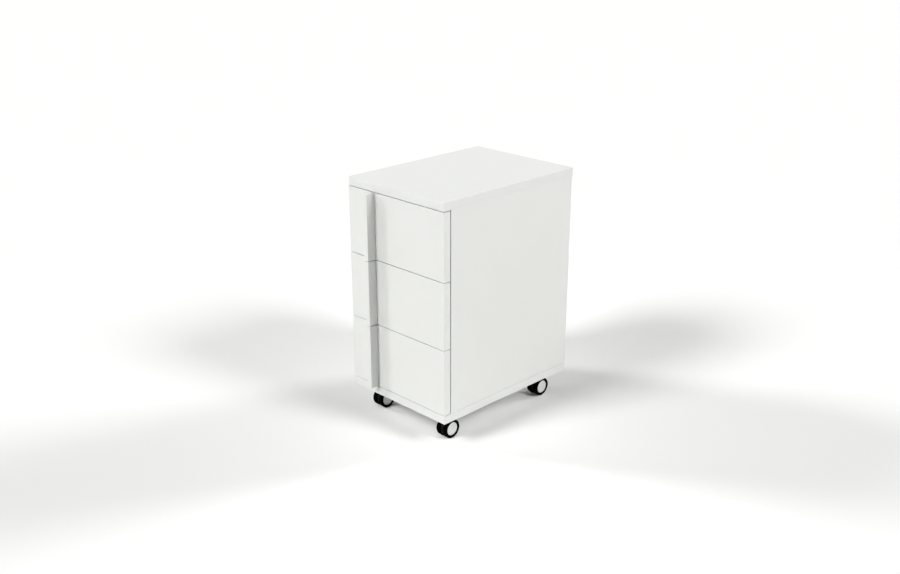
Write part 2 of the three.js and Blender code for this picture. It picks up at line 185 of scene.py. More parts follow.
def new_finish(name, **values):
    """A material with its shader's own sockets set. Underscores stand for spaces."""
    material = bpy.data.materials.new(name)
    material.use_nodes = True
    shader = material.node_tree.nodes["Principled BSDF"]
    for socket, value in values.items():
        shader.inputs[socket.replace("_", " ")].default_value = value
    return material, material.node_tree, shader


def link_surface(tree, shader, tone, gloss, relief):
    """Gives a shader the colour, roughness and bump that a finish's nodes make."""
    tree.links.new(tone.outputs["Color"], shader.inputs["Base Color"])
    tree.links.new(gloss.outputs["Result"], shader.inputs["Roughness"])
    tree.links.new(relief.outputs["Normal"], shader.inputs["Normal"])


def colours():
    return bpy.context.scene.pedestal_colours


def pressed_melamine(name, face_colour):
    """Melamine-faced chipboard. The paper is pressed against a satin steel plate, which
    leaves a fine pearl grain and a soft, broken highlight."""
    material, tree, shader = new_finish(name, IOR=1.55, Specular_IOR_Level=0.45)
    place = add_node(tree, "ShaderNodeTexCoord").outputs["Object"]
    cloud = add_node(
        tree, "ShaderNodeTexNoise",
        values={"Scale": per_metre(90), "Detail": 2.0, "Roughness": 0.5},
        links={"Vector": place},
    )
    # The real grain is about 0.4 mm across and is drawn at 1.4 mm, so that it shows.
    grain = add_node(
        tree, "ShaderNodeTexNoise",
        values={"Scale": per_metre(1.4), "Detail": 2.0, "Roughness": 0.6},
        links={"Vector": place},
    )
    shade = add_node(
        tree, "ShaderNodeMapRange",
        values={"From Min": 0.3, "From Max": 0.7, "To Min": 0.994, "To Max": 1.004},
        links={"Value": cloud.outputs["Fac"]},
    )
    tone = add_node(
        tree, "ShaderNodeHueSaturation",
        values={"Color": face_colour},
        links={"Value": shade.outputs["Result"]},
    )
    gloss = add_node(
        tree, "ShaderNodeMapRange",
        values={"From Min": 0.25, "From Max": 0.75, "To Min": 0.40, "To Max": 0.52},
        links={"Value": grain.outputs["Fac"]},
    )
    relief = add_node(
        tree, "ShaderNodeBump",
        values={"Strength": 0.35, "Distance": 0.02 * MM},
        links={"Height": grain.outputs["Fac"]},
    )
    link_surface(tree, shader, tone, gloss, relief)
    return material


def white_melamine(name):
    return pressed_melamine(name, colours().laminate)


def grey_melamine(name):
    return pressed_melamine(name, colours().drawer_board)


def abs_edge_band(name):
    """ABS edge band, extruded, glued on and scraped flush. It is smoother than the face,
    with faint chatter marks from the scraper, and matches the face's white closely."""
    material, tree, shader = new_finish(name, IOR=1.53, Specular_IOR_Level=0.45)
    place = add_node(tree, "ShaderNodeTexCoord").outputs["Object"]
    cloud = add_node(
        tree, "ShaderNodeTexNoise",
        values={"Scale": per_metre(30), "Detail": 2.0},
        links={"Vector": place},
    )
    chatter = add_node(
        tree, "ShaderNodeTexWave",
        settings={"bands_direction": "DIAGONAL"},
        values={"Scale": per_metre(40), "Distortion": 6.0, "Detail": 2.0, "Detail Scale": 3.0},
        links={"Vector": place},
    )
    shade = add_node(
        tree, "ShaderNodeMapRange",
        values={"From Min": 0.3, "From Max": 0.7, "To Min": 0.992, "To Max": 1.006},
        links={"Value": cloud.outputs["Fac"]},
    )
    tone = add_node(
        tree, "ShaderNodeHueSaturation",
        values={"Color": colours().edge_band},
        links={"Value": shade.outputs["Result"]},
    )
    gloss = add_node(
        tree, "ShaderNodeMapRange",
        values={"To Min": 0.36, "To Max": 0.42},
        links={"Value": cloud.outputs["Fac"]},
    )
    relief = add_node(
        tree, "ShaderNodeBump",
        values={"Strength": 0.15, "Distance": 0.01 * MM},
        links={"Height": chatter.outputs["Fac"]},
    )
    link_surface(tree, shader, tone, gloss, relief)
    return material


def lacquered_hardboard(name):
    """Hardboard with a roller-coated white lacquer. The wood fibres show through as short
    soft flecks, and the lacquer is thin and rather matte."""
    material, tree, shader = new_finish(name, IOR=1.5, Specular_IOR_Level=0.4)
    place = add_node(tree, "ShaderNodeTexCoord").outputs["Object"]
    stretched = add_node(
        tree, "ShaderNodeMapping",
        values={"Scale": (1.0, 1.0, 0.35)},
        links={"Vector": place},
    )
    # Fibre bundles are about 2 mm long, and are drawn at 3 mm.
    fibres = add_node(
        tree, "ShaderNodeTexNoise",
        values={"Scale": per_metre(3), "Detail": 4.0, "Roughness": 0.65},
        links={"Vector": stretched.outputs["Vector"]},
    )
    shade = add_node(
        tree, "ShaderNodeMapRange",
        values={"From Min": 0.3, "From Max": 0.7, "To Min": 0.972, "To Max": 1.01},
        links={"Value": fibres.outputs["Fac"]},
    )
    tone = add_node(
        tree, "ShaderNodeHueSaturation",
        values={"Color": colours().back_panel},
        links={"Value": shade.outputs["Result"]},
    )
    gloss = add_node(
        tree, "ShaderNodeMapRange",
        values={"To Min": 0.5, "To Max": 0.64},
        links={"Value": fibres.outputs["Fac"]},
    )
    relief = add_node(
        tree, "ShaderNodeBump",
        values={"Strength": 0.4, "Distance": 0.03 * MM},
        links={"Height": fibres.outputs["Fac"]},
    )
    link_surface(tree, shader, tone, gloss, relief)
    return material


def coated_metal(name, coat_colour, peel_mm, peel_depth_mm, roughness):
    """Baked-on coat over metal. As the powder melts it leaves an orange peel: shallow
    rounded cells that break up the edges of a highlight."""
    material, tree, shader = new_finish(name, IOR=1.5, Specular_IOR_Level=0.5)
    place = add_node(tree, "ShaderNodeTexCoord").outputs["Object"]
    peel = add_node(
        tree, "ShaderNodeTexVoronoi",
        settings={"feature": "SMOOTH_F1"},
        values={"Scale": per_metre(peel_mm), "Smoothness": 1.0},
        links={"Vector": place},
    )
    cloud = add_node(
        tree, "ShaderNodeTexNoise",
        values={"Scale": per_metre(25), "Detail": 2.0},
        links={"Vector": place},
    )
    shade = add_node(
        tree, "ShaderNodeMapRange",
        values={"From Min": 0.3, "From Max": 0.7, "To Min": 0.99, "To Max": 1.005},
        links={"Value": cloud.outputs["Fac"]},
    )
    tone = add_node(
        tree, "ShaderNodeHueSaturation",
        values={"Color": coat_colour},
        links={"Value": shade.outputs["Result"]},
    )
    gloss = add_node(
        tree, "ShaderNodeMapRange",
        values={"To Min": roughness - 0.03, "To Max": roughness + 0.05},
        links={"Value": cloud.outputs["Fac"]},
    )
    relief = add_node(
        tree, "ShaderNodeBump",
        values={"Strength": 0.5, "Distance": peel_depth_mm * MM},
        links={"Height": peel.outputs["Distance"]},
    )
    link_surface(tree, shader, tone, gloss, relief)
    return material


def powder_coated_aluminium(name):
    coat = colours().pull
    return coated_metal(name, coat, peel_mm=1.8, peel_depth_mm=0.03, roughness=0.42)


def epoxy_coated_steel(name):
    coat = colours().coated_steel
    return coated_metal(name, coat, peel_mm=1.2, peel_depth_mm=0.02, roughness=0.3)


def zinc_plated_steel(name):
    """Bright zinc-plated steel, blue-passivated. The plate is cloudy, so the reflections
    are soft in some places and sharp in others, with a cold tint."""
    material, tree, shader = new_finish(name, Metallic=1.0)
    place = add_node(tree, "ShaderNodeTexCoord").outputs["Object"]
    cloud = add_node(
        tree, "ShaderNodeTexNoise",
        values={"Scale": per_metre(7), "Detail": 3.0, "Roughness": 0.6},
        links={"Vector": place},
    )
    pits = add_node(
        tree, "ShaderNodeTexNoise",
        values={"Scale": per_metre(0.8), "Detail": 2.0},
        links={"Vector": place},
    )
    tint = add_node(
        tree, "ShaderNodeMapRange",
        values={"From Min": 0.3, "From Max": 0.7, "To Min": 0.493, "To Max": 0.507},
        links={"Value": cloud.outputs["Fac"]},
    )
    shade = add_node(
        tree, "ShaderNodeMapRange",
        values={"From Min": 0.3, "From Max": 0.7, "To Min": 0.9, "To Max": 1.08},
        links={"Value": cloud.outputs["Fac"]},
    )
    tone = add_node(
        tree, "ShaderNodeHueSaturation",
        values={"Color": colours().zinc},
        links={"Hue": tint.outputs["Result"], "Value": shade.outputs["Result"]},
    )
    gloss = add_node(
        tree, "ShaderNodeMapRange",
        values={"To Min": 0.22, "To Max": 0.42},
        links={"Value": cloud.outputs["Fac"]},
    )
    relief = add_node(
        tree, "ShaderNodeBump",
        values={"Strength": 0.2, "Distance": 0.01 * MM},
        links={"Height": pits.outputs["Fac"]},
    )
    link_surface(tree, shader, tone, gloss, relief)
    return material


def black_nylon(name):
    """Glass-filled nylon, moulded in a spark-eroded tool: an even, fine matte grain with
    paler flow marks where the glass comes to the surface."""
    material, tree, shader = new_finish(name, IOR=1.53, Specular_IOR_Level=0.1)
    place = add_node(tree, "ShaderNodeTexCoord").outputs["Object"]
    # The eroded grain is about 0.1 mm and is drawn at 0.6 mm, so that it shows.
    grain = add_node(
        tree, "ShaderNodeTexNoise",
        values={"Scale": per_metre(0.6), "Detail": 1.0},
        links={"Vector": place},
    )
    flow = add_node(
        tree, "ShaderNodeTexNoise",
        values={"Scale": per_metre(12), "Detail": 3.0, "Distortion": 1.5},
        links={"Vector": place},
    )
    shade = add_node(
        tree, "ShaderNodeMapRange",
        values={"From Min": 0.4, "From Max": 0.75, "To Min": 0.8, "To Max": 1.6},
        links={"Value": flow.outputs["Fac"]},
    )
    tone = add_node(
        tree, "ShaderNodeHueSaturation",
        values={"Color": colours().housing},
        links={"Value": shade.outputs["Result"]},
    )
    gloss = add_node(
        tree, "ShaderNodeMapRange",
        values={"To Min": 0.48, "To Max": 0.62},
        links={"Value": grain.outputs["Fac"]},
    )
    relief = add_node(
        tree, "ShaderNodeBump",
        values={"Strength": 0.3, "Distance": 0.03 * MM},
        links={"Height": grain.outputs["Fac"]},
    )
    link_surface(tree, shader, tone, gloss, relief)
    return material


def polyurethane_tread(name):
    """Cast polyurethane, black and soft for hard floors. It is dull, and dust dulls it
    further in patches."""
    material, tree, shader = new_finish(name, IOR=1.5, Specular_IOR_Level=0.015)
    place = add_node(tree, "ShaderNodeTexCoord").outputs["Object"]
    dust = add_node(
        tree, "ShaderNodeTexNoise",
        values={"Scale": per_metre(6), "Detail": 4.0, "Roughness": 0.7},
        links={"Vector": place},
    )
    grain = add_node(
        tree, "ShaderNodeTexNoise",
        values={"Scale": per_metre(0.9), "Detail": 2.0},
        links={"Vector": place},
    )
    shade = add_node(
        tree, "ShaderNodeMapRange",
        values={"From Min": 0.45, "From Max": 0.8, "To Min": 0.8, "To Max": 3.0},
        links={"Value": dust.outputs["Fac"]},
    )
    tone = add_node(
        tree, "ShaderNodeHueSaturation",
        values={"Color": colours().tyre},
        links={"Value": shade.outputs["Result"]},
    )
    gloss = add_node(
        tree, "ShaderNodeMapRange",
        values={"To Min": 0.62, "To Max": 0.85},
        links={"Value": dust.outputs["Fac"]},
    )
    relief = add_node(
        tree, "ShaderNodeBump",
        values={"Strength": 0.25, "Distance": 0.03 * MM},
        links={"Height": grain.outputs["Fac"]},
    )
    link_surface(tree, shader, tone, gloss, relief)
    return material


def moulded_plastic(name, plastic_colour, roughness, subsurface):
    """Pale engineering plastic from a smooth tool: an even satin skin with faint cloudy
    flow, and light that sinks in a little."""
    material, tree, shader = new_finish(
        name, IOR=1.5, Specular_IOR_Level=0.5,
        Subsurface_Weight=subsurface, Subsurface_Radius=(1.0, 0.9, 0.8), Subsurface_Scale=0.5 * MM,
    )
    place = add_node(tree, "ShaderNodeTexCoord").outputs["Object"]
    flow = add_node(
        tree, "ShaderNodeTexNoise",
        values={"Scale": per_metre(10), "Detail": 2.0, "Distortion": 1.0},
        links={"Vector": place},
    )
    grain = add_node(
        tree, "ShaderNodeTexNoise",
        values={"Scale": per_metre(0.7), "Detail": 1.0},
        links={"Vector": place},
    )
    shade = add_node(
        tree, "ShaderNodeMapRange",
        values={"From Min": 0.3, "From Max": 0.7, "To Min": 0.985, "To Max": 1.01},
        links={"Value": flow.outputs["Fac"]},
    )
    tone = add_node(
        tree, "ShaderNodeHueSaturation",
        values={"Color": plastic_colour},
        links={"Value": shade.outputs["Result"]},
    )
    gloss = add_node(
        tree, "ShaderNodeMapRange",
        values={"To Min": roughness - 0.04, "To Max": roughness + 0.06},
        links={"Value": grain.outputs["Fac"]},
    )
    relief = add_node(
        tree, "ShaderNodeBump",
        values={"Strength": 0.2, "Distance": 0.015 * MM},
        links={"Height": grain.outputs["Fac"]},
    )
    link_surface(tree, shader, tone, gloss, relief)
    return material


def grey_nylon(name):
    return moulded_plastic(name, colours().wheel_core, roughness=0.42, subsurface=0.0)


def white_acetal(name):
    return moulded_plastic(name, colours().roller, roughness=0.28, subsurface=0.15)


def clear_polyurethane(name):
    """Clear soft polyurethane, cast as a dome: wet-looking, and milky through its depth."""
    material, tree, shader = new_finish(
        name, IOR=1.49, Base_Color=colours().bumper, Transmission_Weight=0.35,
    )
    place = add_node(tree, "ShaderNodeTexCoord").outputs["Object"]
    ripple = add_node(
        tree, "ShaderNodeTexNoise",
        values={"Scale": per_metre(3), "Detail": 1.0},
        links={"Vector": place},
    )
    gloss = add_node(
        tree, "ShaderNodeMapRange",
        values={"To Min": 0.08, "To Max": 0.22},
        links={"Value": ripple.outputs["Fac"]},
    )
    relief = add_node(
        tree, "ShaderNodeBump",
        values={"Strength": 0.2, "Distance": 0.03 * MM},
        links={"Height": ripple.outputs["Fac"]},
    )
    tree.links.new(gloss.outputs["Result"], shader.inputs["Roughness"])
    tree.links.new(relief.outputs["Normal"], shader.inputs["Normal"])
    return material


def studio_floor(name):
    """Matte white studio floor, with no shine, so only the shadows show on it."""
    material, tree, shader = new_finish(name, Specular_IOR_Level=0.0, Roughness=0.9)
    place = add_node(tree, "ShaderNodeTexCoord").outputs["Object"]
    cloud = add_node(
        tree, "ShaderNodeTexNoise",
        values={"Scale": per_metre(1500), "Detail": 2.0},
        links={"Vector": place},
    )
    shade = add_node(
        tree, "ShaderNodeMapRange",
        values={"To Min": 0.998, "To Max": 1.002},
        links={"Value": cloud.outputs["Fac"]},
    )
    tone = add_node(
        tree, "ShaderNodeHueSaturation",
        values={"Color": colours().floor},
        links={"Value": shade.outputs["Result"]},
    )
    tree.links.new(tone.outputs["Color"], shader.inputs["Base Color"])
    return material


FINISHES = {
    "white_melamine": white_melamine,
    "grey_melamine": grey_melamine,
    "abs_edge_band": abs_edge_band,
    "lacquered_hardboard": lacquered_hardboard,
    "powder_coated_aluminium": powder_coated_aluminium,
    "epoxy_coated_steel": epoxy_coated_steel,
    "zinc_plated_steel": zinc_plated_steel,
    "black_nylon": black_nylon,
    "polyurethane_tread": polyurethane_tread,
    "grey_nylon": grey_nylon,
    "white_acetal": white_acetal,
    "clear_polyurethane": clear_polyurethane,
    "studio_floor": studio_floor,
}


def finish(name):
    """The named finish, made the first time that a piece asks for it."""
    return bpy.data.materials.get(name) or FINISHES[name](name)


# ---------------------------------------------------------------------------------------
# Shapes
# ---------------------------------------------------------------------------------------

def facing(point, direction):
    """Placement that puts local +Z along a direction, with the origin at a point."""
    turn = Vector(direction).to_track_quat("Z", "Y").to_matrix().to_4x4()
    return Matrix.Translation(point) @ turn


def add_turned(bm, profile, placement, facets):
    """Adds a turned solid about local Z. Each profile point is a height and a radius, and
    a profile that doesn't start and end on the axis closes on itself as a ring."""
    rings = []
    for height, radius in profile:
        if radius == 0:
            rings.append([bm.verts.new(placement @ Vector((0, 0, height)))])
            continue
        steps = [2 * math.pi * i / facets for i in range(facets)]
        corners = [Vector((radius * math.cos(t), radius * math.sin(t), height)) for t in steps]
        rings.append([bm.verts.new(placement @ corner) for corner in corners])
    if profile[0][1] > 0:
        rings.append(rings[0])
    made = []
    for below, above in zip(rings, rings[1:]):
        for i in range(facets):
            loop = [below[i % len(below)], below[(i + 1) % facets % len(below)],
                    above[(i + 1) % facets % len(above)], above[i % len(above)]]
            corners = list(dict.fromkeys(loop))
            if len(corners) > 2:
                made.append(bm.faces.new(corners))
    bmesh.ops.recalc_face_normals(bm, faces=made)


def add_prism(bm, outline, depth, placement):
    """Adds a flat outline in local X and Y, run through a depth along local Z."""
    near = [bm.verts.new(placement @ Vector((u, v, 0))) for u, v in outline]
    far = [bm.verts.new(placement @ Vector((u, v, depth))) for u, v in outline]
    made = [bm.faces.new(near), bm.faces.new(far)]
    for i in range(len(outline)):
        j = (i + 1) % len(outline)
        made.append(bm.faces.new((near[i], near[j], far[j], far[i])))
    bmesh.ops.recalc_face_normals(bm, faces=made)


def arc(centre_u, centre_v, radius, start, end, steps):
    """Points along an arc, with the angles in degrees."""
    turns = [math.radians(start + (end - start) * i / steps) for i in range(steps + 1)]
    return [(centre_u + radius * math.cos(t), centre_v + radius * math.sin(t)) for t in turns]


def joined(base, tool, operation):
    """One solid made from two by a boolean, as a new bmesh."""
    blanks = []
    for source in (base, tool):
        mesh = bpy.data.meshes.new("blank")
        source.to_mesh(mesh)
        source.free()
        blank = bpy.data.objects.new("blank", mesh)
        bpy.context.scene.collection.objects.link(blank)
        blanks.append(blank)
    boolean = blanks[0].modifiers.new("join", "BOOLEAN")
    boolean.operation = operation
    boolean.solver = "EXACT"
    boolean.object = blanks[1]
    evaluated = blanks[0].evaluated_get(bpy.context.evaluated_depsgraph_get())
    result = bmesh.new()
    result.from_mesh(evaluated.to_mesh())
    evaluated.to_mesh_clear()
    for blank in blanks:
        bpy.data.meshes.remove(blank.data)
    bmesh.ops.remove_doubles(result, verts=result.verts, dist=WELD)
    return result


def ease(piece, width, segments=3):
    """Rounds a piece's sharp edges and shades it smooth, with its flat faces kept flat."""
    piece.data.shade_smooth()
    bevel = piece.modifiers.new("eased_edges", "BEVEL")
    bevel.width = width
    bevel.segments = segments
    weighted = "bevel_weight_edge" in piece.data.attributes
    bevel.limit_method = "WEIGHT" if weighted else "ANGLE"
    bevel.angle_limit = SHARP
    normals = piece.modifiers.new("flat_faces", "WEIGHTED_NORMAL")
    normals.mode = "FACE_AREA"
    normals.weight = 90  # the flat faces far outweigh the rounds between them


def add_piece(name, bm, body, finishes, replaced=()):
    """Puts a finished solid in the scene as a piece that rides on a body."""
    mesh = bpy.data.meshes.new(name)
    bm.to_mesh(mesh)
    bm.free()
    if "custom_normal" in mesh.attributes:
        mesh.attributes.remove(mesh.attributes["custom_normal"])
    for each in finishes:
        mesh.materials.append(finish(each))
    piece = bpy.data.objects.new(name, mesh)
    bpy.context.scene.collection.objects.link(piece)
    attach(piece, body)
    if replaced:
        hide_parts(*replaced)
    return piece


def traced(node):
    """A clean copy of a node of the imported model, with each flat face in one."""
    bm = bmesh.new()
    bm.from_mesh(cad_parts[node].data)
    bmesh.ops.remove_doubles(bm, verts=bm.verts, dist=WELD)
    bmesh.ops.dissolve_limit(bm, angle_limit=FLAT, verts=bm.verts, edges=bm.edges)
    for face in bm.faces:
        face.material_index = 0
    return bm


def add_traced(node, body, finish_name, edge_radius, segments=3):
    """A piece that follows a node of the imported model, with its edges eased."""
    piece = add_piece(f"{node}_finished", traced(node), body, [finish_name], [node])
    ease(piece, edge_radius, segments)
    return piece


def add_banded_board(node, body, face_axis, radius_at):
    """A laminated board with banded edges. face_axis is the axis across its two faces, and
    radius_at gives an edge's radius from its middle and its direction."""
    sizes = bpy.context.scene.pedestal_sizes
    widest = max(sizes.banded_edge, sizes.joint_edge, sizes.upright_edge)
    bm = traced(node)
    weights = bm.edges.layers.float.new("bevel_weight_edge")
    for edge in bm.edges:
        if not edge.is_manifold or edge.calc_face_angle() < SHARP:
            continue
        ends = [vertex.co for vertex in edge.verts]
        middle = (ends[0] + ends[1]) / 2
        run = (ends[1] - ends[0]).normalized()
        edge[weights] = radius_at(middle, run) / widest
    for face in bm.faces:
        is_laminate = abs(face.normal[face_axis]) > ALONG
        face.material_index = 0 if is_laminate else 1
    finishes = ["white_melamine", "abs_edge_band"]
    piece = add_piece(f"{node}_finished", bm, body, finishes, [node])
    ease(piece, widest)


def screw_head():
    """A pan head of unit diameter with a cross recess, sitting on local z = 0. It is made
    once, and add_screws copies it to every place."""
    head = bmesh.new()
    sunk, foot = -0.05, 0.5
    shoulder = arc(0.36, 0.12, 0.14, 0, 75, 5)
    crown = [(0.30, 0.27), (0.15, 0.30), (0, 0.31)]
    profile = [(sunk, 0), (sunk, foot)]
    profile += [(height, radius) for radius, height in shoulder + crown]
    add_turned(head, profile, Matrix.Identity(4), 32)
    recess = bmesh.new()
    long, thin, floor = 0.29, 0.055, 0.12
    cross = [
        (long, -thin), (long, thin), (thin, thin), (thin, long), (-thin, long), (-thin, thin),
        (-long, thin), (-long, -thin), (-thin, -thin), (-thin, -long), (thin, -long), (thin, -thin),
    ]
    add_prism(recess, cross, 0.4, Matrix.Translation((0, 0, floor)))
    cut = joined(head, recess, "DIFFERENCE")
    mesh = bpy.data.meshes.new("screw_head")
    cut.to_mesh(mesh)
    cut.free()
    return mesh


def add_screws(name, body, places, diameter):
    """Like screws on one body, as one piece. Each place is a point and the way it faces."""
    head = bpy.data.meshes.get("screw_head") or screw_head()
    bm = bmesh.new()
    for point, direction in places:
        start = len(bm.verts)
        bm.from_mesh(head)
        bm.verts.ensure_lookup_table()
        place = facing(point, direction) @ Matrix.Scale(diameter, 4)
        bmesh.ops.transform(bm, matrix=place, verts=bm.verts[start:])
    piece = add_piece(name, bm, body, ["zinc_plated_steel"])
    ease(piece, 0.02 * diameter, 1)


# ---------------------------------------------------------------------------------------
# Operators
# ---------------------------------------------------------------------------------------

class PEDESTAL_OT_carcass(bpy.types.Operator):
    """Make the laminated boards of the carcass and the cam fittings that join them"""

    bl_idname = "pedestal.carcass"
    bl_label = "Carcass"
    bl_options = {"REGISTER", "UNDO"}

    def execute(self, context):
        sizes = context.scene.pedestal_sizes
        side_low, side_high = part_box("right_side_panel")

        def carcass_radius(middle, run):
            """Tight at the seam under the top board, and widest where a side panel stands
            on the bottom board."""
            if abs(middle.z - side_high.z) < SEAM + TOUCHING:
                return sizes.seated_edge
            beside = abs(run.y) > ALONG and abs(middle.x) > side_high.x - TOUCHING
            if beside and abs(middle.z - side_low.z) < TOUCHING:
                return sizes.joint_edge
            return sizes.banded_edge

        add_banded_board("top_board", "carcass", Z, carcass_radius)
        add_banded_board("bottom_board", "carcass", Z, carcass_radius)
        for name in SIDES:
            add_banded_board(f"{name}_side_panel", "carcass", X, carcass_radius)
        self.add_cams(sizes, side_low, side_high)
        return {"FINISHED"}

    def add_cams(self, sizes, side_low, side_high):
        """Fittings inside the side panels, near their corners: a rim round a cross-cut core."""
        from_end = 37 * MM  # the usual place for a row of drilled holes
        from_board = 24 * MM
        heights = (side_low.z + from_board, side_high.z - from_board)
        places = []
        for outward in SIDES.values():
            for y in (side_low.y + from_end, side_high.y - from_end):
                for z in heights:
                    places.append(((outward * side_low.x, y, z), (-outward, 0, 0)))
        radius = sizes.cam_diameter / 2
        sunk, proud, dished = -1.0 * MM, 0.5 * MM, 0.1 * MM
        rim = [
            (sunk, 0), (sunk, radius), (proud, radius), (proud, 0.7 * radius),
            (dished, 0.65 * radius), (dished, 0),
        ]
        bm = bmesh.new()
        for point, direction in places:
            add_turned(bm, rim, facing(point, direction), 48)
        discs = add_piece("cam_fittings", bm, "carcass", ["zinc_plated_steel"])
        ease(discs, 0.15 * MM, 2)
        add_screws("cam_fitting_cores", "carcass", places, sizes.cam_diameter / 2)


class PEDESTAL_OT_back_panel(bpy.types.Operator):
    """Make the thin back panel and the screws that hold it to the carcass"""

    bl_idname = "pedestal.back_panel"
    bl_label = "Back panel"
    bl_options = {"REGISTER", "UNDO"}

    def execute(self, context):
        edge_radius = 0.4 * MM
        add_traced("back_panel", "carcass", "lacquered_hardboard", edge_radius, 2)
        low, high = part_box("back_panel")
        _, board_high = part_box("bottom_board")
        screw_diameter = 7 * MM
        from_edge = 5.5 * MM  # the upper rows go into the side panels' rear edges
        from_end = 28 * MM
        rows = 4
        x = high.x - from_edge
        row_length = high.z - board_high.z - 2 * from_end
        places = []
        for row in range(rows):
            z = board_high.z + from_end + row / (rows - 1) * row_length
            places += [((side * x, high.y, z), (0, 1, 0)) for side in SIDES.values()]
        z = (low.z + board_high.z) / 2
        places += [((share * x, high.y, z), (0, 1, 0)) for share in (-0.5, 0, 0.5)]
        add_screws("back_panel_screws", "carcass", places, screw_diameter)
        return {"FINISHED"}


class PEDESTAL_OT_runners(bpy.types.Operator):
    """Make the runner rails, their screws, and the rollers on the cabinet and the drawers"""

    bl_idname = "pedestal.runners"
    bl_label = "Runners"
    bl_options = {"REGISTER", "UNDO"}

    def execute(self, context):
        sizes = context.scene.pedestal_sizes
        for number in DRAWERS:
            for name in SIDES:
                rail = f"runner_{number}_{name}_rail"
                edge_radius = sizes.sheet_edge
                add_traced(rail, "carcass", "epoxy_coated_steel", edge_radius, 2)
            self.add_rail_screws(sizes, number)
            self.add_rollers(sizes, number)
        return {"FINISHED"}

    def add_rail_screws(self, sizes, number):
        low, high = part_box(f"runner_{number}_right_rail")
        screw_diameter = 7.5 * MM
        from_end = 37 * MM
        z = high.z - 8 * MM  # in the flat strip above the rail's channel
        places = []
        for outward in SIDES.values():
            x = outward * (high.x - sizes.sheet_thickness)
            for y in (low.y + from_end, (low.y + high.y) / 2, high.y - from_end):
                places.append(((x, y, z), (-outward, 0, 0)))
        add_screws(f"runner_{number}_screws", "carcass", places, screw_diameter)

    def add_rollers(self, sizes, number):
        """The cabinet's roller, at the front, runs in the drawer's channel. The drawer's,
        at the rear, runs in the cabinet's."""
        rail_low, rail_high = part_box(f"runner_{number}_right_rail")
        side_low, side_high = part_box(f"drawer_{number}_right_side")
        steel, gap = sizes.sheet_thickness, sizes.roller_clearance
        track_height = 17 * MM
        from_end = 14 * MM
        z = rail_low.z + steel + track_height / 2
        channel_depth = rail_high.x - rail_low.x
        rail_wall = rail_high.x - steel
        drawer_wall = side_high.x - channel_depth
        # Each roller: where it is along the cabinet, the x of its running face, of its back
        # and of its pin's far end, and the wall that its pin is riveted to, on the right.
        cabinet_roller = (
            rail_low.y + from_end,
            drawer_wall + gap, side_high.x - 2 * gap, rail_high.x, rail_wall,
        )
        drawer_roller = (
            side_high.y - from_end,
            rail_wall - gap, rail_low.x + gap, drawer_wall - steel, drawer_wall,
        )
        self.add_pair(sizes, "carcass", f"runner_{number}", z, cabinet_roller)
        self.add_pair(sizes, f"drawer_{number}", f"drawer_{number}", z, drawer_roller)

    def add_pair(self, sizes, body, label, z, roller):
        """The left and right rollers of one body, and their riveted pins."""
        y, near, far, root, wall = roller
        radius = sizes.roller_diameter / 2
        width = abs(far - near)
        bore = 2.6 * MM
        groove = 0.5 * MM
        section = [
            (0, bore), (0, 0.62 * radius), (groove, 0.66 * radius), (groove, 0.82 * radius),
            (0, 0.86 * radius), (0, radius), (width, radius), (width, bore),
        ]
        reach = abs(root - near)
        proud = 0.2 * MM
        pin_radius = 0.9 * bore
        shank = [(-proud, 0), (-proud, pin_radius), (reach, pin_radius), (reach, 0)]
        collar_end = abs(wall - near)
        collar_start = collar_end - 1.0 * MM
        collar_radius = 1.6 * bore
        collar = [
            (collar_start, 0), (collar_start, collar_radius),
            (collar_end, collar_radius), (collar_end, 0),
        ]
        rollers = bmesh.new()
        pins = bmesh.new()
        for outward in SIDES.values():
            point = (outward * near, y, z)
            way = (outward * math.copysign(1, far - near), 0, 0)
            add_turned(rollers, section, facing(point, way), 64)
            way = (outward * math.copysign(1, root - near), 0, 0)
            add_turned(pins, shank, facing(point, way), 32)
            add_turned(pins, collar, facing(point, way), 32)
        piece = add_piece(f"{label}_rollers", rollers, body, ["white_acetal"])
        ease(piece, 0.4 * MM, 3)
        piece = add_piece(f"{label}_roller_pins", pins, body, ["zinc_plated_steel"])
        ease(piece, 0.2 * MM, 2)


class PEDESTAL_OT_drawer_fronts(bpy.types.Operator):
    """Make the drawer fronts and the clear bumpers behind their upper corners"""

    bl_idname = "pedestal.drawer_fronts"
    bl_label = "Drawer fronts"
    bl_options = {"REGISTER", "UNDO"}

    def execute(self, context):
        sizes = context.scene.pedestal_sizes

        def front_radius(middle, run):
            return sizes.upright_edge if abs(run.z) > ALONG else sizes.banded_edge

        for number in DRAWERS:
            body = f"drawer_{number}"
            add_banded_board(f"{body}_front", body, Y, front_radius)
            self.add_bumpers(sizes, body)
        return {"FINISHED"}

    def add_bumpers(self, sizes, body):
        """Two clear domes near the front's upper corners, facing the side panels' edges."""
        _, front_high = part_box(f"{body}_front")
        side_low, side_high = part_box("right_side_panel")
        from_top = 10 * MM
        radius, height = sizes.bumper_diameter / 2, sizes.bumper_height
        crown = arc(0, 0, 1.0, 15, 90, 8)[:-1]
        dome = [(0, 0), (0, radius)]
        dome += [(height * v, radius * u) for u, v in crown]
        dome.append((height, 0))
        bm = bmesh.new()
        for outward in SIDES.values():
            x = outward * (side_low.x + side_high.x) / 2
            point = (x, front_high.y, front_high.z - from_top)
            add_turned(bm, dome, facing(point, (0, 1, 0)), 32)
        dots = add_piece(f"{body}_bumpers", bm, body, ["clear_polyurethane"])
        dots.data.shade_smooth()


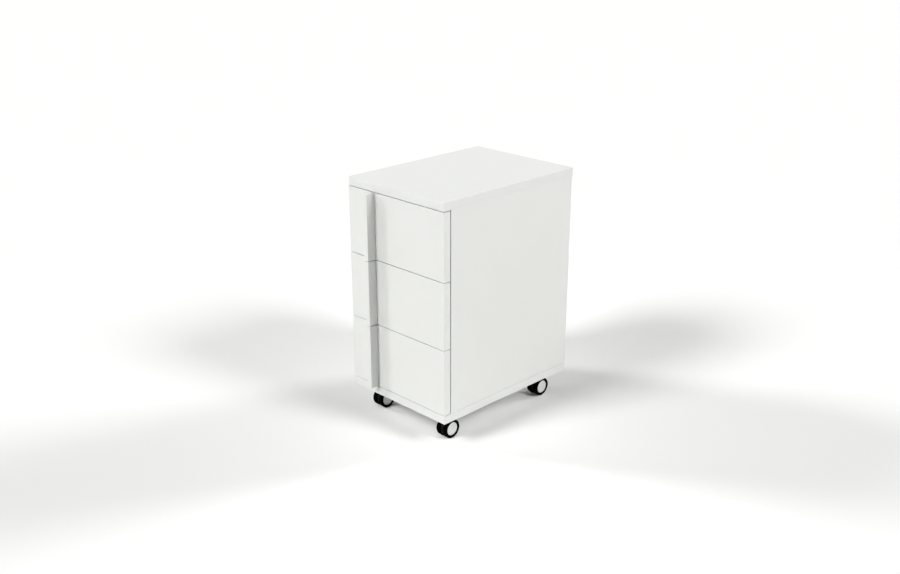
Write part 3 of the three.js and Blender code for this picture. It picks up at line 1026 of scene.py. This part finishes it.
class PEDESTAL_OT_pulls(bpy.types.Operator):
    """Make the upright bar pulls and the screws that hold them through the fronts"""

    bl_idname = "pedestal.pulls"
    bl_label = "Pulls"
    bl_options = {"REGISTER", "UNDO"}

    def execute(self, context):
        sizes = context.scene.pedestal_sizes
        screw_spacing = 96 * MM
        screw_diameter = 8 * MM
        for number in DRAWERS:
            body = f"drawer_{number}"
            add_traced(f"{body}_pull", body, "powder_coated_aluminium", sizes.bar_edge)
            low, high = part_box(f"{body}_pull")
            _, front_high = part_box(f"{body}_front")
            middle = (low + high) / 2
            places = []
            for way in (-1, 1):
                z = middle.z + way * screw_spacing / 2
                places.append(((middle.x, front_high.y, z), (0, 1, 0)))
            add_screws(f"{body}_pull_screws", body, places, screw_diameter)
        return {"FINISHED"}


class PEDESTAL_OT_drawer_boxes(bpy.types.Operator):
    """Make the steel sides, bottoms, backs and front brackets of the drawers"""

    bl_idname = "pedestal.drawer_boxes"
    bl_label = "Drawer boxes"
    bl_options = {"REGISTER", "UNDO"}

    def execute(self, context):
        sizes = context.scene.pedestal_sizes
        board_edge = 0.5 * MM
        for number in DRAWERS:
            body = f"drawer_{number}"
            for name in SIDES:
                side = f"{body}_{name}_side"
                add_traced(side, body, "epoxy_coated_steel", sizes.sheet_edge, 2)
            for board in ("bottom", "back"):
                node = f"{body}_{board}"
                add_traced(node, body, "grey_melamine", board_edge, 2)
            self.add_brackets(sizes, body)
        return {"FINISHED"}

    def add_brackets(self, sizes, body):
        """Angle brackets inside the front corners, screwed to the front and the sides."""
        _, bottom_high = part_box(f"{body}_bottom")
        _, front_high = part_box(f"{body}_front")
        reach, steel = sizes.bracket_reach, sizes.sheet_thickness
        start = front_high.y + 0.1 * MM
        rise = bottom_high.z + 8 * MM
        bend = 1.5 * MM  # inside radius of the fold
        screw_diameter = 6.5 * MM
        screw_reach = 0.62 * reach
        inner = arc(steel + bend, steel + bend, bend, 180, 270, 4)
        outer = arc(steel + bend, steel + bend, steel + bend, 180, 270, 6)
        outline = [(reach, 0), (reach, steel)] + inner[::-1]
        outline += [(steel, reach), (0, reach)] + outer
        bm = bmesh.new()
        places = []
        for outward in SIDES.values():
            # Local X runs in from the drawer's side, and local Y runs back from the front.
            axes = Matrix(((-outward, 0, 0, 0), (0, 1, 0, 0), (0, 0, 1, 0), (0, 0, 0, 1)))
            corner = Matrix.Translation((outward * bottom_high.x, start, rise))
            add_prism(bm, outline, sizes.bracket_height, corner @ axes)
            for share in (0.22, 0.78):
                z = rise + share * sizes.bracket_height
                x = outward * (bottom_high.x - screw_reach)
                places.append(((x, start + steel, z), (0, 1, 0)))
                x = outward * (bottom_high.x - steel)
                places.append(((x, start + screw_reach, z), (-outward, 0, 0)))
        piece = add_piece(f"{body}_brackets", bm, body, ["zinc_plated_steel"])
        ease(piece, 0.25 * MM, 2)
        add_screws(f"{body}_bracket_screws", body, places, screw_diameter)


class PEDESTAL_OT_caster_plates(bpy.types.Operator):
    """Make the caster plates, their screws and the washers that the housings turn under"""

    bl_idname = "pedestal.caster_plates"
    bl_label = "Caster plates"
    bl_options = {"REGISTER", "UNDO"}

    def execute(self, context):
        sizes = context.scene.pedestal_sizes
        board_low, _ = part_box("bottom_board")
        plate_thickness = 2.6 * MM
        underside = board_low.z - plate_thickness
        for corner in CORNERS:
            node = f"{corner}_caster_plate"
            add_traced(node, "carcass", "zinc_plated_steel", sizes.plate_edge, 2)
            low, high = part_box(node)
            middle = (low + high) / 2
            self.add_plate_screws(corner, middle, underside)
            self.add_washer(corner, middle, underside)
        return {"FINISHED"}

    def add_plate_screws(self, corner, middle, underside):
        """One screw near each corner of the plate."""
        offset = 19 * MM
        screw_diameter = 8 * MM
        places = []
        for across in (-1, 1):
            for along in (-1, 1):
                point = (middle.x + across * offset, middle.y + along * offset, underside)
                places.append((point, (0, 0, -1)))
        add_screws(f"{corner}_caster_screws", "carcass", places, screw_diameter)

    def add_washer(self, corner, middle, underside):
        """A washer between the housing's top and the plate, a little wider at the plate."""
        _, housing_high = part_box(f"{corner}_caster_housing")
        clear = 0.15 * MM
        top = underside - housing_high.z - clear / 3
        bore, foot, brim = 3.4 * MM, 11 * MM, 11.8 * MM
        profile = [(clear, bore), (clear, foot), (top, brim), (top, bore)]
        bm = bmesh.new()
        seat = (middle.x, middle.y, housing_high.z)
        add_turned(bm, profile, facing(seat, (0, 0, 1)), 64)
        name = f"{corner}_swivel_washer"
        piece = add_piece(name, bm, "carcass", ["zinc_plated_steel"])
        ease(piece, 0.2 * MM, 2)


class PEDESTAL_OT_caster_housings(bpy.types.Operator):
    """Make the swivel housings and the wheels' axles"""

    bl_idname = "pedestal.caster_housings"
    bl_label = "Caster housings"
    bl_options = {"REGISTER", "UNDO"}

    def execute(self, context):
        sizes = context.scene.pedestal_sizes
        for corner in CORNERS:
            body = f"{corner}_caster"
            self.add_housing(sizes, corner, body)
            self.add_axle(corner, body)
        return {"FINISHED"}

    def add_housing(self, sizes, corner, body):
        """A round head under the plate, joined to a web that runs down between the wheels."""
        plate_low, plate_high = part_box(f"{corner}_caster_plate")
        axle_low, axle_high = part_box(f"{corner}_caster_axle")
        low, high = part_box(f"{corner}_caster_housing")
        swivel = (plate_low + plate_high) / 2
        axle = (axle_low + axle_high) / 2
        radius = high.y - swivel.y
        depth = 14.6 * MM
        underside = high.z - depth
        # The web is a disc about the axle, drawn in Y and Z, with a neck up into the head.
        web_thickness = 8.9 * MM
        web_radius = axle.z - low.z
        neck_rear = swivel.y + 9 * MM  # behind the stem
        neck_foot = plate_low.z - 1 * MM
        neck_top = underside + 1 * MM
        outline = arc(axle.y, axle.z, web_radius, 99, 315, 40)
        outline += [(neck_rear, neck_foot), (neck_rear, neck_top), (axle.y, neck_top)]
        start = swivel.x - web_thickness / 2
        along_x = Matrix(((0, 0, 1, start), (1, 0, 0, 0), (0, 1, 0, 0), (0, 0, 0, 1)))
        web = bmesh.new()
        add_prism(web, outline, web_thickness, along_x)

        foot, crown = 3 * MM, 1.5 * MM  # radii round the head's lower and upper edges
        lower = arc(radius - foot, foot, foot, -90, 0, 6)[1:]
        upper = arc(radius - crown, depth - crown, crown, 0, 90, 5)
        profile = [(0, 0), (0, radius - foot)]
        profile += [(height, across) for across, height in lower + upper]
        profile.append((depth, 0))
        head = bmesh.new()
        add_turned(head, profile, facing((swivel.x, swivel.y, underside), (0, 0, 1)), 96)
        housing = joined(web, head, "UNION")
        node = f"{corner}_caster_housing"
        name = f"{node}_moulded"
        piece = add_piece(name, housing, body, ["black_nylon"], [node])
        ease(piece, sizes.moulded_edge, 3)

    def add_axle(self, corner, body):
        node = f"{corner}_caster_axle"
        low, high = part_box(node)
        middle = (low + high) / 2
        reach = high.x - low.x
        radius = (high.z - low.z) / 2
        bm = bmesh.new()
        pin = [(0, 0), (0, radius), (reach, radius), (reach, 0)]
        add_turned(bm, pin, facing((low.x, middle.y, middle.z), (1, 0, 0)), 48)
        piece = add_piece(f"{node}_turned", bm, body, ["zinc_plated_steel"], [node])
        ease(piece, 0.4 * MM, 2)


class PEDESTAL_OT_wheels(bpy.types.Operator):
    """Make the soft tyres, the moulded wheel cores and the thread guards"""

    bl_idname = "pedestal.wheels"
    bl_label = "Wheels"
    bl_options = {"REGISTER", "UNDO"}

    def execute(self, context):
        facets = context.scene.pedestal_sizes.wheel_facets
        for corner in CORNERS:
            for name, outward in SIDES.items():
                wheel = f"{corner}_{name}_wheel"
                self.add_tyre(wheel, outward, facets)
                self.add_core(wheel, outward, facets)
                self.add_guard(wheel, outward, facets)
        return {"FINISHED"}

    def inner_face(self, node, outward):
        """Placement on the wheel's axis at its inner face, facing outwards, and the size."""
        low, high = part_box(node)
        middle = (low + high) / 2
        x = low.x if outward > 0 else high.x
        return facing((x, middle.y, middle.z), (outward, 0, 0)), high - low

    def add_tyre(self, wheel, outward, facets):
        node = f"{wheel}_tyre"
        place, size = self.inner_face(node, outward)
        core_low, core_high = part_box(f"{wheel}_core")
        clear = 0.05 * MM
        bore = (core_high.z - core_low.z) / 2 + clear
        shoulder = bpy.context.scene.pedestal_sizes.tread_shoulder
        drop = 0.8 * shoulder
        drop_start = size.z / 2 - drop
        lip = 0.5 * MM
        half = [(lip, bore), (0, bore + lip)]
        for u, v in arc(0, 0, 1.0, 180, 90, 8):
            half.append((shoulder * (1 + u), drop_start + drop * v))
        far = [(size.x - height, radius) for height, radius in reversed(half)]
        bm = bmesh.new()
        add_turned(bm, half + far, place, facets)
        piece = add_piece(f"{node}_cast", bm, wheel, ["polyurethane_tread"], [node])
        ease(piece, 0.2 * MM, 2)

    def add_core(self, wheel, outward, facets):
        node = f"{wheel}_core"
        place, size = self.inner_face(node, outward)
        radius, width = size.z / 2, size.x
        hub, dip = 6 * MM, 0.7 * MM
        groove_at, groove = 0.86 * radius, 0.35 * MM
        rim = 0.6 * MM  # chamfer at the disc's edge
        bore = 3.2 * MM  # the axle's hole, blind behind the disc's outer face
        bore_end = width - dip - 1.8 * MM
        profile = [
            (width - dip, 0), (width - dip, hub), (width, hub + dip),
            (width, groove_at - 2 * groove), (width - groove, groove_at - groove),
            (width - groove, groove_at), (width, groove_at + groove),
            (width, radius - rim), (width - rim, radius), (rim, radius), (0, radius - rim),
            (0, bore), (bore_end, bore), (bore_end, 0),
        ]
        bm = bmesh.new()
        add_turned(bm, profile[::-1], place, facets)
        piece = add_piece(f"{node}_moulded", bm, wheel, ["grey_nylon"], [node])
        ease(piece, 0.2 * MM, 2)

    def add_guard(self, wheel, outward, facets):
        """A black disc on the wheel's inner face, which keeps threads off the axle."""
        place, size = self.inner_face(f"{wheel}_core", outward)
        thickness = bpy.context.scene.pedestal_sizes.guard_thickness
        overlap = 1 * MM  # past the core, over the tyre's side
        radius = size.z / 2 + overlap
        bore = 3.4 * MM
        ring = [(-thickness, bore), (-thickness, radius - thickness), (0, radius), (0, bore)]
        bm = bmesh.new()
        add_turned(bm, ring, place, facets)
        add_piece(f"{wheel}_thread_guard", bm, wheel, ["black_nylon"])


def bearing(azimuth, elevation):
    """Unit vector at an angle round the floor, from the drawer fronts towards the right
    side, and at an angle above it."""
    across = math.cos(elevation)
    return Vector((
        math.sin(azimuth) * across,
        -math.cos(azimuth) * across,
        math.sin(elevation),
    ))


class PEDESTAL_OT_stage(bpy.types.Operator):
    """Make the floor, the white surround, the lights and the camera"""

    bl_idname = "pedestal.stage"
    bl_label = "Stage"
    bl_options = {"REGISTER", "UNDO"}

    # Each light's direction round the floor, in degrees from the drawer fronts towards the
    # right side, its height, the angle that it fills, and its share of the floor's light.
    SUNS = {
        "front_light": (-11.9, 38.0, 17.4, 0.352),
        "right_light": (103.0, 37.0, 16.0, 0.255),
        "rear_light": (158.8, 20.2, 14.9, 0.193),
        "left_light": (-61.8, 29.8, 12.0, 0.200),
    }
    SKY_SHARE = 0.003
    # The point that the camera aims at: beside the cabinet's middle, near its mid-height.
    AIM = (-18 * MM, -14.25 * MM, 330 * MM)
    LIGHT_DISTANCE = 5.0  # where the suns stand, which changes nothing that they light
    CLIP_END = 200.0

    def execute(self, context):
        studio = context.scene.pedestal_studio
        self.add_floor(studio)
        self.add_surround(studio)
        self.add_lights(context, studio)
        self.add_camera(context, studio)
        context.scene.view_settings.view_transform = "Standard"
        context.scene.view_settings.look = "None"
        return {"FINISHED"}

    def add_floor(self, studio):
        reach = studio.floor_reach
        mesh = bpy.data.meshes.new("studio_floor")
        corners = [(-reach, -reach, 0), (reach, -reach, 0), (reach, reach, 0), (-reach, reach, 0)]
        mesh.from_pydata(corners, [], [(0, 1, 2, 3)])
        mesh.materials.append(finish("studio_floor"))
        floor = bpy.data.objects.new("studio_floor", mesh)
        bpy.context.scene.collection.objects.link(floor)

    def add_surround(self, studio):
        """A white sphere far away. It shows behind the cabinet and in gloss, lights nothing
        else and casts no shadow."""
        bm = bmesh.new()
        bmesh.ops.create_uvsphere(bm, u_segments=48, v_segments=24, radius=studio.floor_reach)
        mesh = bpy.data.meshes.new("white_surround")
        bm.to_mesh(mesh)
        bm.free()
        material = bpy.data.materials.new("lit_surround")
        material.use_nodes = True
        tree = material.node_tree
        tree.nodes.clear()
        glow = add_node(tree, "ShaderNodeEmission", values={"Strength": 1.0})
        add_node(tree, "ShaderNodeOutputMaterial", links={"Surface": glow.outputs["Emission"]})
        mesh.materials.append(material)
        surround = bpy.data.objects.new("white_surround", mesh)
        surround.visible_diffuse = False
        surround.visible_shadow = False
        surround.visible_transmission = False
        bpy.context.scene.collection.objects.link(surround)

    def add_lights(self, context, studio):
        level = studio.floor_light / colours().floor[0]
        for name, (azimuth, elevation, spread, share) in self.SUNS.items():
            light = bpy.data.lights.new(name, "SUN")
            around, up = math.radians(azimuth), math.radians(elevation)
            light.energy = math.pi * share * level / math.sin(up)
            light.angle = math.radians(spread)
            towards = bearing(around, up)
            lamp = bpy.data.objects.new(name, light)
            lamp.matrix_world = facing(towards * self.LIGHT_DISTANCE, towards)
            context.scene.collection.objects.link(lamp)
        world = bpy.data.worlds.new("studio_air")
        world.use_nodes = True
        sky = world.node_tree.nodes["Background"]
        sky.inputs["Color"].default_value = (1, 1, 1, 1)
        sky.inputs["Strength"].default_value = self.SKY_SHARE * level
        context.scene.world = world

    def add_camera(self, context, studio):
        towards = bearing(studio.azimuth, studio.elevation)
        data = bpy.data.cameras.new("camera")
        data.lens = studio.lens
        data.sensor_width = 36.0
        data.clip_end = self.CLIP_END
        camera = bpy.data.objects.new("camera", data)
        camera.location = Vector(self.AIM) + towards * studio.distance
        camera.rotation_euler = towards.to_track_quat("Z", "Y").to_euler()
        context.scene.collection.objects.link(camera)
        context.scene.camera = camera


class PEDESTAL_PT_build(bpy.types.Panel):
    """Lists the pieces of the cabinet and the sizes and colours that they are made to"""

    bl_idname = "PEDESTAL_PT_build"
    bl_label = "Rolling pedestal cabinet"
    bl_space_type = "VIEW_3D"
    bl_region_type = "UI"
    bl_category = "Pedestal"

    def draw(self, context):
        column = self.layout.column(align=True)
        for operator in OPERATORS:
            column.operator(operator.bl_idname)
        for group in ("pedestal_sizes", "pedestal_colours", "pedestal_studio"):
            values = getattr(context.scene, group)
            box = self.layout.box()
            for name in values.__annotations__:
                box.prop(values, name)


GROUPS = {
    "pedestal_sizes": PedestalSizes,
    "pedestal_colours": PedestalColours,
    "pedestal_studio": PedestalStudio,
}
OPERATORS = (
    PEDESTAL_OT_carcass,
    PEDESTAL_OT_back_panel,
    PEDESTAL_OT_runners,
    PEDESTAL_OT_drawer_fronts,
    PEDESTAL_OT_pulls,
    PEDESTAL_OT_drawer_boxes,
    PEDESTAL_OT_caster_plates,
    PEDESTAL_OT_caster_housings,
    PEDESTAL_OT_wheels,
    PEDESTAL_OT_stage,
)


def register():
    for each in (*GROUPS.values(), *OPERATORS, PEDESTAL_PT_build):
        bpy.utils.register_class(each)
    for name, group in GROUPS.items():
        setattr(bpy.types.Scene, name, PointerProperty(type=group))


def unregister():
    for name in GROUPS:
        delattr(bpy.types.Scene, name)
    for each in (PEDESTAL_PT_build, *reversed(OPERATORS), *GROUPS.values()):
        bpy.utils.unregister_class(each)


def main():
    register()
    bpy.ops.pedestal.carcass()
    bpy.ops.pedestal.back_panel()
    bpy.ops.pedestal.runners()
    bpy.ops.pedestal.drawer_fronts()
    bpy.ops.pedestal.pulls()
    bpy.ops.pedestal.drawer_boxes()
    bpy.ops.pedestal.caster_plates()
    bpy.ops.pedestal.caster_housings()
    bpy.ops.pedestal.wheels()
    bpy.ops.pedestal.stage()


if __name__ == "__main__":
    main()
